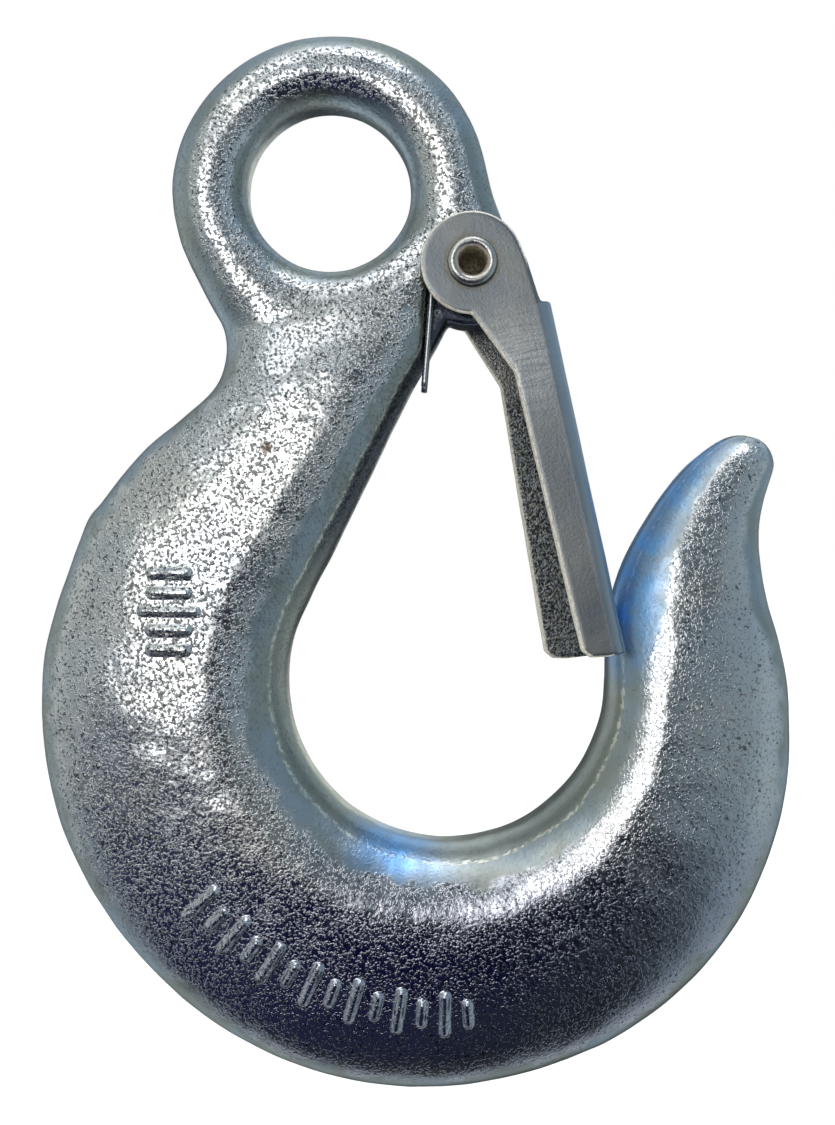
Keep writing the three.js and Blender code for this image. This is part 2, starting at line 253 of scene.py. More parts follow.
def relax(points, pairs, weight, rounds):
    """Moves each point towards the mean of its neighbours by weight, a number for each point."""
    count = np.bincount(pairs.ravel(), minlength=len(points))[:, None]
    for _ in range(rounds):
        total = np.zeros_like(points)
        for axis in range(3):
            total[:, axis] += np.bincount(pairs[:, 0], points[pairs[:, 1], axis], len(points))
            total[:, axis] += np.bincount(pairs[:, 1], points[pairs[:, 0], axis], len(points))
        points = points + weight[:, None] * (total / np.maximum(count, 1) - points)
    return points


def even_out(obj, rounds):
    """Takes the voxels' steps out of a remeshed surface."""
    points = read_points(obj)
    write_points(obj, relax(points, edge_pairs(obj), np.full(len(points), 0.5), rounds))


NOISE_SIZE = 4096
NOISE_PRIMES = (73856093, 19349663, 83492791)


def value_noise(points, scale, seed):
    """Smooth noise from -1 to 1 at each point, with features about `scale` millimetres wide."""
    table = np.random.default_rng(seed).uniform(-1, 1, NOISE_SIZE)
    cell = np.floor(points / scale).astype(np.int64)
    share = points / scale - cell
    share = share * share * (3 - 2 * share)
    result = np.zeros(len(points))
    for corner in np.ndindex(2, 2, 2):
        index = np.bitwise_xor.reduce((cell + corner) * NOISE_PRIMES, axis=1) % NOISE_SIZE
        weight = np.prod(np.where(np.array(corner), share, 1 - share), axis=1)
        result += weight * table[index]
    return result


def waves(points, layers):
    """A sum of smooth noises, each given by its height, its width and its seed."""
    return sum(height * value_noise(points, width, seed) for height, width, seed in layers)


def store(obj, name, values):
    """Keeps one number per point on the mesh, for its material to read."""
    attribute = obj.data.attributes.new(name, "FLOAT", "POINT")
    attribute.data.foreach_set("value", np.asarray(values, np.float32))


# ---- forged hook ----

def polar(centre, radius, degrees):
    angle = math.radians(degrees)
    return np.array([centre[0] + radius * math.cos(angle), centre[1] + radius * math.sin(angle)])


def bump(degrees, rise, centre, width):
    """A smooth rise about an angle."""
    return rise * math.exp(-(((degrees - centre) / width) ** 2))


# Points along a section, from the inner edge to the crest and from there to the outer edge
BODY_POINTS = (26, 40)
EYE_POINTS = (20, 20)


def section_share(crest, inner_points, outer_points):
    """Where each point of a section lies: 0 at the inner edge, 1 at the outer edge."""
    turn = np.linspace(0, math.pi / 2, inner_points + 1)
    reach = np.sin(np.linspace(0, math.pi / 2, outer_points + 1)[1:])
    side = np.concatenate([crest * (1 - np.cos(turn)), crest + (1 - crest) * reach])
    return np.concatenate([side, side[::-1]])


def section_ring(key, inner_points, outer_points):
    """One forged section: steep from the inner edge to the crest, then a gentle fall to a rounded
    rim. Both edges end in the narrow land that trimming the flash leaves."""
    inner, outer, half, crest, slope, rim = key
    rise = half - FLASH_HALF_WIDTH
    turn = np.linspace(0, math.pi / 2, inner_points + 1)
    reach = np.sin(np.linspace(0, math.pi / 2, outer_points + 1)[1:])
    fall = (1 - slope * reach ** 2) * np.sqrt(np.maximum(0, 1 - reach ** rim))
    height = FLASH_HALF_WIDTH + rise * np.concatenate([np.sin(turn), fall])
    height = np.concatenate([height, -height[::-1]])
    share = section_share(crest, inner_points, outer_points)
    flat = inner + (outer - inner) * share[:, None]
    return np.stack([flat[:, 0], height, flat[:, 1]], axis=1)


def eye_ring(segments=240):
    """The eye, and where each of its points lies across the section."""
    rings = []
    for i in range(segments):
        degrees = -90 + i * 360 / segments
        radius = EYE_OUTER_RADIUS + bump(degrees, *EYE_TO_LUG) + bump(degrees, *EYE_FLAT_TOP)
        radius += bump(degrees, *EYE_TO_NECK) + bump(degrees + 360, *EYE_TO_NECK)
        inner = polar((0, 0), EYE_HOLE_RADIUS, degrees)
        outer = polar((0, 0), radius, degrees)
        key = (inner, outer, EYE_HALF_THICKNESS, EYE_CREST, EYE_FALL, EYE_RIM)
        rings.append(section_ring(key, *EYE_POINTS))
    share = np.tile(section_share(EYE_CREST, *EYE_POINTS), segments)
    return new_object("eye", *loft(rings, closed=True)), share


# Key sections down the shank and up the tip:
# inner edge, outer edge, half thickness, crest's share, fall to the rim, rim's squareness.
SHANK_KEYS = [
    ((12.2, -16.0), (-15.6, -12.2), 4.4, 0.40, 0.10, 4.0),
    ((9.4, -19.2), (-16.4, -16.1), 5.8, 0.38, 0.15, 5.0),
    ((5.1, -23.8), (-18.4, -19.3), 6.4, 0.36, 0.24, 6.0),
    ((0.4, -29.3), (-22.6, -21.8), 6.8, 0.34, 0.32, 7.0),
    ((-4.4, -35.1), (-28.3, -24.6), 7.1, 0.33, 0.38, 8.0),
    ((-9.5, -41.2), (-34.2, -29.0), 7.3, 0.32, 0.42, 8.0),
]

# Key sections round the bowl: angle about its centre, outer radius, half thickness. All have the same
# crest's share, fall to the rim and rim's squareness.
BOWL_SHAPE = (0.33, 0.42, 8.0)
BOWL_KEYS = [
    (145, 45.9, 7.4), (165, 47.2, 7.5), (185, 48.0, 7.5), (205, 48.1, 7.5),
    (225, 48.2, 7.5), (245, 47.8, 7.5), (265, 46.8, 7.5), (285, 45.8, 7.5),
    (305, 44.2, 7.4), (325, 42.0, 7.1), (345, 39.8, 6.7),
]

TIP_KEYS = [
    ((19.6, -57.5), (38.5, -58.2), 6.0, 0.42, 0.30, 6.0),
    ((21.2, -53.8), (38.7, -55.2), 5.6, 0.44, 0.26, 5.0),
    ((23.4, -50.3), (39.1, -52.3), 5.3, 0.42, 0.22, 4.0),
    ((26.2, -47.0), (39.8, -49.6), 4.9, 0.44, 0.18, 3.6),
    ((29.4, -43.9), (40.9, -47.1), 4.5, 0.46, 0.14, 3.2),
    ((32.9, -41.2), (42.2, -44.9), 4.1, 0.48, 0.10, 2.8),
    ((36.0, -39.6), (43.1, -43.2), 3.6, 0.50, 0.05, 2.5),
    ((38.5, -38.8), (43.0, -41.3), 2.7, 0.50, 0.00, 2.2),
    ((40.3, -38.9), (42.2, -39.9), 1.4, 0.50, 0.00, 2.0),
]


def key_rows():
    """All key sections as rows of eight numbers, and which of them lie on the bowl's circle."""
    rows = [[*inner, *outer, *rest] for inner, outer, *rest in SHANK_KEYS]
    for degrees, radius, half in BOWL_KEYS:
        inner = polar(BOWL_CENTRE, BOWL_RADIUS, degrees)
        outer = polar(BOWL_CENTRE, radius, degrees)
        rows.append([*inner, *outer, half, *BOWL_SHAPE])
    rows += [[*inner, *outer, *rest] for inner, outer, *rest in TIP_KEYS]
    first = len(SHANK_KEYS)
    return np.array(rows), first, first + len(BOWL_KEYS) - 1


def catmull_rom(a, b, c, d, t):
    rise, leave = (c - a) / 2, (d - b) / 2
    cubic = 2 * (b - c) + rise + leave
    square = 3 * (c - b) - 2 * rise - leave
    return cubic * t ** 3 + square * t ** 2 + rise * t + b


def body_loft(steps=16):
    """Shank, bowl and tip, and where each of their points lies across the section."""
    rows, bowl_first, bowl_last = key_rows()
    last = len(rows) - 1
    rings, shares = [], []
    for i in range(last):
        four = [rows[max(0, i - 1)], rows[i], rows[i + 1], rows[min(last, i + 2)]]
        for step in range(steps):
            row = catmull_rom(*four, step / steps)
            inner = row[:2]
            if bowl_first <= i < bowl_last:
                away = inner - BOWL_CENTRE
                inner = BOWL_CENTRE + away * BOWL_RADIUS / np.hypot(*away)
            key = (inner, row[2:4], row[4], row[5], max(0, row[6]), row[7])
            rings.append(section_ring(key, *BODY_POINTS))
            shares.append(section_share(row[5], *BODY_POINTS))
    row = rows[last]
    rings.append(section_ring((row[:2], row[2:4], *row[4:]), *BODY_POINTS))
    shares.append(section_share(row[5], *BODY_POINTS))
    return new_object("body", *loft(rings, closed=False)), np.concatenate(shares)


def pocket_outline():
    """Room by the lug for a spring coil and leg: a leaning wall, a level wall, a round corner."""
    x, z = PIVOT_XZ
    corner = arc(PIVOT_XZ, POCKET_REACH, math.pi / 2, math.pi - POCKET_LEAN, 24)
    start = corner[-1]
    foot = start[1] - POCKET_SIZE * math.cos(POCKET_LEAN)
    toe = start[0] - POCKET_SIZE * math.sin(POCKET_LEAN)
    return [(x + POCKET_SIZE, z + POCKET_REACH), *corner, (toe, foot), (x + POCKET_SIZE, foot)]


def hook_mesh():
    """The hook's mesh, its section points and their shares, and how many of these are the eye's."""
    voxel = HOOK_VOXEL
    (ring, ring_share), (body, body_share) = eye_ring(), body_loft()
    sections = np.concatenate([read_points(ring), read_points(body)])
    shares = np.concatenate([ring_share, body_share])
    for part in (ring, body):
        face_outward(part)
    hook = remesh(join([ring, body]), voxel)
    points, pairs = read_points(hook), edge_pairs(hook)
    from_eye = np.hypot(points[:, 0], points[:, 2])
    neck = smoothstep(*NECK_START, from_eye) * (1 - smoothstep(*NECK_END, from_eye))
    neck *= smoothstep(*NECK_DROP, -points[:, 2])
    rounds = int(NECK_ROUNDS * (HOOK_VOXEL / voxel) ** 2)
    write_points(hook, relax(points, pairs, NECK_PULL * neck, rounds))
    for side in (-1, 1):
        low, high = sorted((side * LUG_HALF_THICKNESS, side * 2 * POCKET_SIZE))
        boolean(hook, "DIFFERENCE", prism("pocket", pocket_outline(), low, high, "y"))
    rim = circle(PIVOT_XZ, LUG_RADIUS, 120)
    lug = prism("lug", rim, -LUG_HALF_THICKNESS, LUG_HALF_THICKNESS, "y")
    hook = remesh(join([hook, lug]), voxel)
    even_out(hook, rounds=3)
    pin = prism("pin", circle(PIVOT_XZ, PIN_HOLE_RADIUS, 60), -2 * LUG_RADIUS, 2 * LUG_RADIUS, "y")
    boolean(hook, "DIFFERENCE", pin)
    return hook, sections, shares, len(ring_share)


def look_up_share(points, sections, shares, eye_count):
    """For each point, the share of the nearest section point, and 1 where that lies on the eye."""
    tree = KDTree(len(sections))
    for i, spot in enumerate(sections):
        tree.insert(spot, i)
    tree.balance()
    nearest = np.array([tree.find(p)[1] for p in points])
    return shares[nearest], (nearest < eye_count).astype(float)


# Raised forging marks: plain bars with no lettering. Each is a capsule in X and Z from one end to the
# other, with a half width, and rises to a rounded ridge.
MARK_HEIGHT = 0.55
MARK_FOOT = 0.3
MARK_RIDGE = -0.4
MARK_WEAR = [(0.2, 1.7, 13)]
MARK_FINE_REACH = 0.9
PANEL_CENTRE = np.array([-28.7, -43.8])
PANEL_LEAN = math.radians(-14)
PANEL_BARS = [
    ((-1.9, 4.6), (1.9, 4.6), 0.5),
    ((-1.9, 2.4), (1.9, 2.4), 0.5),
    ((-3.0, 0.3), (3.0, 0.3), 0.36),
    ((-1.9, -1.8), (1.9, -1.8), 0.5),
    ((-1.9, -4.0), (1.9, -4.0), 0.5),
]
ROW_RADIUS = 37.2
ROW_ANGLES = range(208, 261, 4)
ROW_LONG_BAR = 2.1
ROW_SHORT_BAR = 1.1
ROW_HALF_WIDTH = 0.48


def mark_capsules():
    capsules = []
    turn = np.array([[math.cos(PANEL_LEAN), -math.sin(PANEL_LEAN)],
                     [math.sin(PANEL_LEAN), math.cos(PANEL_LEAN)]])
    for start, end, half_width in PANEL_BARS:
        capsules.append((PANEL_CENTRE + turn @ start, PANEL_CENTRE + turn @ end, half_width))
    for number, degrees in enumerate(ROW_ANGLES):
        bar = ROW_SHORT_BAR if number % 2 else ROW_LONG_BAR
        inner = polar(BOWL_CENTRE, ROW_RADIUS - bar, degrees)
        outer = polar(BOWL_CENTRE, ROW_RADIUS + bar, degrees)
        capsules.append((inner, outer, ROW_HALF_WIDTH))
    return capsules


def nearest_distance(flat, lines):
    """Distance from each (x, z) point to the nearest of some lines, each a start, an end and half its
    width. Inside a line it is negative."""
    nearest = np.full(len(flat), np.inf)
    for start, end, half_width in lines:
        line = end - start
        share = np.clip((flat - start) @ line / (line @ line), 0, 1)
        gap = np.hypot(*(flat - start - share[:, None] * line).T) - half_width
        nearest = np.minimum(nearest, gap)
    return nearest


def refine_near_marks(hook):
    edit = bmesh.new()
    edit.from_mesh(hook.data)
    edit.normal_update()
    centres = np.array([f.calc_center_median() for f in edit.faces]) / MM - EYE_CENTRE
    facing = np.array([f.normal.y for f in edit.faces]) < -0.3
    close = nearest_distance(centres[:, (0, 2)], mark_capsules()) < MARK_FINE_REACH
    chosen = np.nonzero(facing & close)[0]
    edit.faces.ensure_lookup_table()
    edges = {e for i in chosen for e in edit.faces[i].edges}
    bmesh.ops.subdivide_edges(edit, edges=list(edges), cuts=2, use_grid_fill=True)
    edit.to_mesh(hook.data)
    edit.free()


def in_pocket(x, z):
    """1 where a point lies in the spring pocket or on the lug, seen from the side."""
    across, up = x - PIVOT[0], z - PIVOT[2]
    past_wall = (across - up * math.tan(POCKET_LEAN)) * math.cos(POCKET_LEAN)
    inside = past_wall > -POCKET_REACH - POCKET_MARGIN
    inside &= (up < POCKET_REACH + POCKET_MARGIN) & (up > -POCKET_SIZE)
    return inside.astype(float)


# Hammered waviness of the forging, raggedness of the grain's edge and drift of the trim line, each as
# height, width and seed. Then where grain starts and ends, as a share across the section.
HAMMERING = [(0.09, 5.5, 11), (0.045, 2.6, 12)]
GRAIN_RAGGED = [(0.025, 1.3, 14), (0.02, 4.0, 15)]
TRIM_DRIFT = [(0.008, 6.0, 16)]
EYE_GRAIN = (0.17, 0.74)
BODY_GRAIN = (0.16, 0.94)
TIP_GRAIN = (0.32, 0.86)
GRAIN_FADE_IN = (-0.025, 0.02)
GRAIN_FADE_OUT = (-0.04, 0.02)

# Where changes come in, by x or z: the tip's side, its narrower grain, its painted blue reflection, the
# full grain
#  below the eye, the calm tip beside the latch. PIVOT_CALM is by distance from the pivot.
TIP_SIDE = (17, 20)
TIP_NARROW = (-64, -56)
TIP_REFLECTION = (-66, -58)
EYE_FOOT = (-14.5, -17.0)
TIP_CALM = (-57, -52)
PIVOT_CALM = (6.5, 10.0)


def grain_cover(points, normals, share, on_eye):
    """1 where blasted grain covers the forging. The rims beside the trimmed flash stay smooth."""
    x, y, z = points.T
    ragged = share + waves(points, GRAIN_RAGGED)
    on_tip = smoothstep(*TIP_SIDE, x) * smoothstep(*TIP_NARROW, z)
    ends = []
    for eye, body, tip in zip(EYE_GRAIN, BODY_GRAIN, TIP_GRAIN):
        ends.append(np.where(on_eye > 0, eye, body + (tip - body) * on_tip))
    first, last = ends
    grain = smoothstep(*GRAIN_FADE_IN, ragged - first)
    grain *= 1 - smoothstep(*GRAIN_FADE_OUT, ragged - last)
    grain = np.maximum(grain, on_eye * smoothstep(*EYE_FOOT, z))
    return grain * smoothstep(0.15, 0.4, np.abs(normals[:, 1]))


def make_hook():
    hook, sections, shares, eye_count = hook_mesh()
    hook.name = "forged_hook"
    refine_near_marks(hook)
    points, normals = read_points(hook), read_normals(hook)
    share, on_eye = look_up_share(points, sections, shares, eye_count)
    x, y, z = points.T
    # the hammering is kept away from the lug and from the tip beside the latch
    from_pivot = np.hypot(x - PIVOT[0], z - PIVOT[2])
    calm = smoothstep(*PIVOT_CALM, from_pivot) * (1 - 0.6 * (x > 18) * smoothstep(*TIP_CALM, z))
    marks = nearest_distance(points[:, (0, 2)], mark_capsules())
    front = normals[:, 1] < -0.2
    raised = MARK_HEIGHT * smoothstep(MARK_FOOT, MARK_RIDGE, marks) * front
    worn = 0.8 + waves(points, MARK_WEAR)
    offset = waves(points, HAMMERING) * calm + raised * worn
    write_points(hook, points + normals * offset[:, None])
    store(hook, "grain", grain_cover(points, normals, share, on_eye))
    store(hook, "share", np.where(on_eye > 0, 0.5, share + waves(points, TRIM_DRIFT)))
    # painted blue reflection on the tip's inner side, on its faces that turn towards -X
    inner_tip = smoothstep(*TIP_SIDE, x) * smoothstep(*TIP_REFLECTION, z)
    store(hook, "blue", inner_tip * smoothstep(0.05, 0.45, -normals[:, 0]))
    # where painted shade darkens the spring pocket and the lug
    on_lug = (np.abs(y) < LUG_HALF_THICKNESS + 0.35) * (from_pivot > PIN_HOLE_RADIUS + 0.3)
    store(hook, "pocket", in_pocket(x, z) * on_lug)
    return hook


# ---- latch ----

def latch_outline():
    """Side view of the latch about its pivot: ear, neck, elbow, wall, chamfered tail, step."""
    neck, shoulder = math.radians(257), math.radians(12)
    ear = arc((0, 0), EAR_RADIUS, shoulder, neck, 80)
    return [*ear, (2, -13.1), (2.65, 1.3 - LATCH_LENGTH), (3.5, 0.3 - LATCH_LENGTH),
            (5.2, -LATCH_LENGTH), (WEB_OUTSIDE + 1, -LATCH_LENGTH), (WEB_OUTSIDE + 1, -WEB_TOP),
            (6.6, -6), (6.45, -5), (6.1, -1.2)]


def channel_profile():
    """Cross-section of the channel in X and Y: a flat web, two bends and two walls."""
    bend, flat = WEB_OUTSIDE - BEND_RADIUS, WALL_OUTSIDE - BEND_RADIUS
    inside = BEND_RADIUS - SHEET
    end = -2 * EAR_RADIUS
    quarter = math.pi / 2
    outer = arc((bend, -flat), BEND_RADIUS, -quarter, 0, 16)
    outer += arc((bend, flat), BEND_RADIUS, 0, quarter, 16)
    inner = arc((bend, flat), inside, quarter, 0, 10)
    inner += arc((bend, -flat), inside, 0, -quarter, 10)
    return [(end, -WALL_OUTSIDE), *outer, (end, WALL_OUTSIDE), (end, WALL_INSIDE), *inner,
            (end, -WALL_INSIDE)]


def hang(points):
    """Leans the latch about the pivot axis, and racks it: one wall leans more than the other."""
    x, y, z = points.T
    lean = LATCH_LEAN + LATCH_RACK_PER_MM * y
    across = PIVOT[0] + x * np.cos(lean) + z * np.sin(lean)
    up = PIVOT[2] - x * np.sin(lean) + z * np.cos(lean)
    return np.stack([across, y, up], axis=1)


def latch_edges():
    """The lines of the latch's side view, without width."""
    corners = np.array(latch_outline())
    return [(start, end, 0.0) for start, end in zip(corners, np.roll(corners, -1, axis=0))]


def latch_mesh():
    """The latch about its pivot: a channel cut to its side view, notched, with softened edges."""
    latch = prism("latch_sheet", channel_profile(), -LATCH_LENGTH - 1, 2 * EAR_RADIUS, "z")
    side = prism("side", latch_outline(), -2 * WALL_OUTSIDE, 2 * WALL_OUTSIDE, "y")
    boolean(latch, "INTERSECT", side)
    rings = []
    for x in (WEB_OUTSIDE - BEND_RADIUS, WEB_OUTSIDE + BEND_RADIUS):
        y, z = np.array(circle((0, 0), 1, 48)).T * [[NOTCH_HALF_WIDTH], [NOTCH_DEPTH]]
        rings.append(np.stack([np.full(len(y), x), y, z - LATCH_LENGTH], axis=1))
    cutter = new_object("notch", *loft(rings, closed=False))
    face_outward(cutter)
    boolean(latch, "DIFFERENCE", cutter)
    apply_modifier(latch, "BEVEL", width=EDGE_RADIUS * MM, segments=3, limit_method="ANGLE",
                   angle_limit=EDGE_ANGLE, miter_outer="MITER_ARC")
    remesh(latch, LATCH_VOXEL)
    even_out(latch, rounds=6)
    hole = prism("hole", circle((0, 0), EAR_HOLE_RADIUS, 96), -EAR_CUT_REACH, EAR_CUT_REACH, "y")
    boolean(latch, "DIFFERENCE", hole)
    return latch


# What counts as the channel's outside, a cut edge or the painted highlight along the burr, by how far a
# normal faces sideways or by
#  distance from the outline. Then where the bends start, and the width and depth of the inside.
OUTSIDE_FACING = (0.35, 0.9)
CUT_FACING = (0.75, 0.95)
BURR_HIGHLIGHT_FADE = (0.12, 0.24)
BEND_START = (5.4, 6.4)
INSIDE_HALF_WIDTH = 6.1
INSIDE_DEPTH = 7.0


def store_latch_zones(latch, points, normals, from_edge):
    """Keeps where the channel's inside, its cut edges with their painted highlight and its bends are,
    for the material to read.
    """
    x, y, z = points.T
    sideways = np.abs(normals[:, 1])
    before_bend = x < WEB_OUTSIDE - BEND_RADIUS
    outside = smoothstep(*OUTSIDE_FACING, sideways) * (np.sign(y) == np.sign(normals[:, 1]))
    web = smoothstep(*OUTSIDE_FACING, normals[:, 0]) * (x > 6)
    inside = np.clip(1 - outside - web, 0, 1) * (np.abs(y) < INSIDE_HALF_WIDTH) * (x < INSIDE_DEPTH)
    thickness = (np.abs(y) > WALL_INSIDE + 0.1) & (np.abs(y) < WALL_OUTSIDE - 0.1)
    store(latch, "inside", inside * (1 - thickness))
    cut = (1 - smoothstep(*CUT_FACING, sideways)) * before_bend
    # painted highlight in a narrow band along the sheet's outline, on the burr
    burr_highlight = (1 - smoothstep(*BURR_HIGHLIGHT_FADE, from_edge)) * before_bend
    store(latch, "cut", np.maximum(cut, burr_highlight) * (np.hypot(x, z) > EAR_HOLE_RADIUS + 0.4))
    store(latch, "bend", smoothstep(*BEND_START, x) * (z < -WEB_TOP))
    store(latch, "radius", np.hypot(x, z))


# Unevenness that handling leaves in the sheet: height, width and seed.
SHEET_WAVES = [(0.03, 7.0, 21), (0.012, 3.0, 22)]


def make_latch():
    latch = latch_mesh()
    points, normals = read_points(latch), read_normals(latch)
    from_edge = nearest_distance(points[:, (0, 2)], latch_edges())
    store_latch_zones(latch, points, normals, from_edge)
    # blanking rolls the sheet's edges over
    rolled = np.clip(1 - from_edge / ROLL_WIDTH, 0, 1) ** 2 * (np.abs(normals[:, 1]) > 0.7)
    offset = waves(points, SHEET_WAVES) - ROLL_DEPTH * rolled
    write_points(latch, hang(points + normals * offset[:, None]))
    return latch


# ---- rivet ----

def rivet_profile():
    """Half outline as (radius, y): the hollow's floor and wall, the rolled lip, the shank, the head."""
    face = WALL_OUTSIDE + RIVET_SLACK
    bore, floor, lip = RIVET_BORE_RADIUS, RIVET_BORE_END, RIVET_LIP_RADIUS
    profile = [(0.0, floor + 0.12), (0.7, floor), (bore - 0.25, floor - 0.4), (bore - 0.08, -3.4)]
    for turn in np.linspace(math.pi, 0, 33):
        profile.append((bore + lip + lip * math.cos(turn), -face - lip * (0.5 + math.sin(turn))))
    profile += [(bore + 2 * lip - 0.04, -face - 0.1), (bore + 2 * lip - 0.12, -face),
                (RIVET_RADIUS + 0.02, -face), (RIVET_RADIUS, -face + 0.05), (RIVET_RADIUS, face - 0.05),
                (RIVET_RADIUS + 0.02, face), (RIVET_HEAD_RADIUS - 0.2, face)]
    for turn in np.linspace(0, math.pi / 2, 25)[:-1]:
        rise = RIVET_HEAD_RIM + (RIVET_HEAD_HEIGHT - RIVET_HEAD_RIM) * math.sin(turn)
        profile.append((RIVET_HEAD_RADIUS * math.cos(turn), face + rise))
    return [*profile, (0.0, face + RIVET_HEAD_HEIGHT)]


def make_rivet(segments=128):
    """Semi-tubular rivet: its hollow end is rolled out at the front, its solid head is at the back."""
    profile = rivet_profile()
    angles = np.linspace(0, 2 * math.pi, segments, endpoint=False)
    x, z = PIVOT_XZ
    vertices = [(x, profile[0][1], z)]
    for radius, y in profile[1:-1]:
        vertices += [(x + radius * math.cos(a), y, z + radius * math.sin(a)) for a in angles]
    vertices.append((x, profile[-1][1], z))
    faces = []
    for j in range(segments):
        k = (j + 1) % segments
        faces.append((0, 1 + j, 1 + k))
        for i in range(len(profile) - 3):
            here = 1 + i * segments
            faces.append((here + j, here + segments + j, here + segments + k, here + k))
        last = 1 + (len(profile) - 3) * segments
        faces.append((len(vertices) - 1, last + k, last + j))
    rivet = new_object("rolled_rivet", vertices, faces)
    face_outward(rivet)
    return rivet


# ---- spring ----

# From a coil's end along its arm to the loop that bears on the web: outward, inward and drop.
ARM_POINTS = [(4.7, 0.0, 4.5), (4.95, 0.3, 9.0), (5.0, 0.8, 13.0), (4.95, 1.8, 15.6)]
LOOP_MIDDLE = (4.95, 16.2)


def spring_half(coil_points=30):
    """Centre line of half the double torsion spring: leg, coil, and arm to the loop."""
    first_y = LUG_HALF_THICKNESS + WIRE_RADIUS + 0.1
    start = math.pi - POCKET_LEAN
    wound = start - ARM_ANGLE + 2 * math.pi * COIL_FULL_TURNS
    top = polar(PIVOT_XZ, COIL_RADIUS, math.degrees(start))
    points = []
    for share in (1, 2 / 3, 1 / 3):
        x = top[0] - LEG_LENGTH * share * math.sin(POCKET_LEAN)
        z = top[1] - LEG_LENGTH * share * math.cos(POCKET_LEAN)
        points.append((x, first_y, z))
    for i in range(coil_points + 1):
        turned = wound * i / coil_points
        spot = polar(PIVOT_XZ, COIL_RADIUS, math.degrees(start - turned))
        points.append((spot[0], first_y + COIL_PITCH * turned / (2 * math.pi), spot[1]))
    last_y = points[-1][1]
    for outward, inward, drop in ARM_POINTS:
        points.append((PIVOT[0] + outward, last_y - inward, PIVOT[2] - drop))
    return points


def spline(keys, steps):
    """A centripetal Catmull-Rom curve through the keys."""
    keys = [2 * keys[0] - keys[1], *keys, 2 * keys[-1] - keys[-2]]
    result = []
    for a, b, c, d in zip(keys, keys[1:], keys[2:], keys[3:]):
        ta = 0.0
        tb = ta + np.linalg.norm(b - a) ** 0.5
        tc = tb + np.linalg.norm(c - b) ** 0.5
        td = tc + np.linalg.norm(d - c) ** 0.5
        for t in np.linspace(tb, tc, steps, endpoint=False):
            ab = (tb - t) / (tb - ta) * a + (t - ta) / (tb - ta) * b
            bc = (tc - t) / (tc - tb) * b + (t - tb) / (tc - tb) * c
            cd = (td - t) / (td - tc) * c + (t - tc) / (td - tc) * d
            abc = (tc - t) / (tc - ta) * ab + (t - ta) / (tc - ta) * bc
            bcd = (td - t) / (td - tb) * bc + (t - tb) / (td - tb) * cd
            result.append((tc - t) / (tc - tb) * abc + (t - tb) / (tc - tb) * bcd)
    result.append(keys[-2])
    return np.array(result)


def make_spring(sides=16, steps=8):
    half = [np.array(p, float) for p in spring_half()]
    middle = np.array([PIVOT[0] + LOOP_MIDDLE[0], 0.0, PIVOT[2] - LOOP_MIDDLE[1]])
    other = [p * (1, -1, 1) for p in reversed(half)]
    line = spline([*half, middle, *other], steps)
    along = np.gradient(line, axis=0)
    along /= np.linalg.norm(along, axis=1)[:, None]
    across = np.cross(along[0], (0, 1, 0))
    rings = []
    turns = np.linspace(0, 2 * math.pi, sides, endpoint=False)
    for centre, forward in zip(line, along):
        across = across - forward * (across @ forward)
        across /= np.linalg.norm(across)
        up = np.cross(forward, across)
        ring = np.cos(turns)[:, None] * across + np.sin(turns)[:, None] * up
        rings.append(centre + ring * WIRE_RADIUS)
    # both ends of the wire are rounded off
    for end, beyond in ((0, -WIRE_END_LENGTH), (-1, WIRE_END_LENGTH)):
        cap = line[end] + along[end] * beyond + (rings[end] - line[end]) * WIRE_END_SHARE
        rings.insert(0 if end == 0 else len(rings), cap)
    spring = new_object("torsion_spring", *loft(rings, closed=False))
    face_outward(spring)
    return spring


# ---- materials ----

# What bright metal turns to where it is seen at a grazing angle
EDGE_TINT = (0.4, 0.42, 0.42)


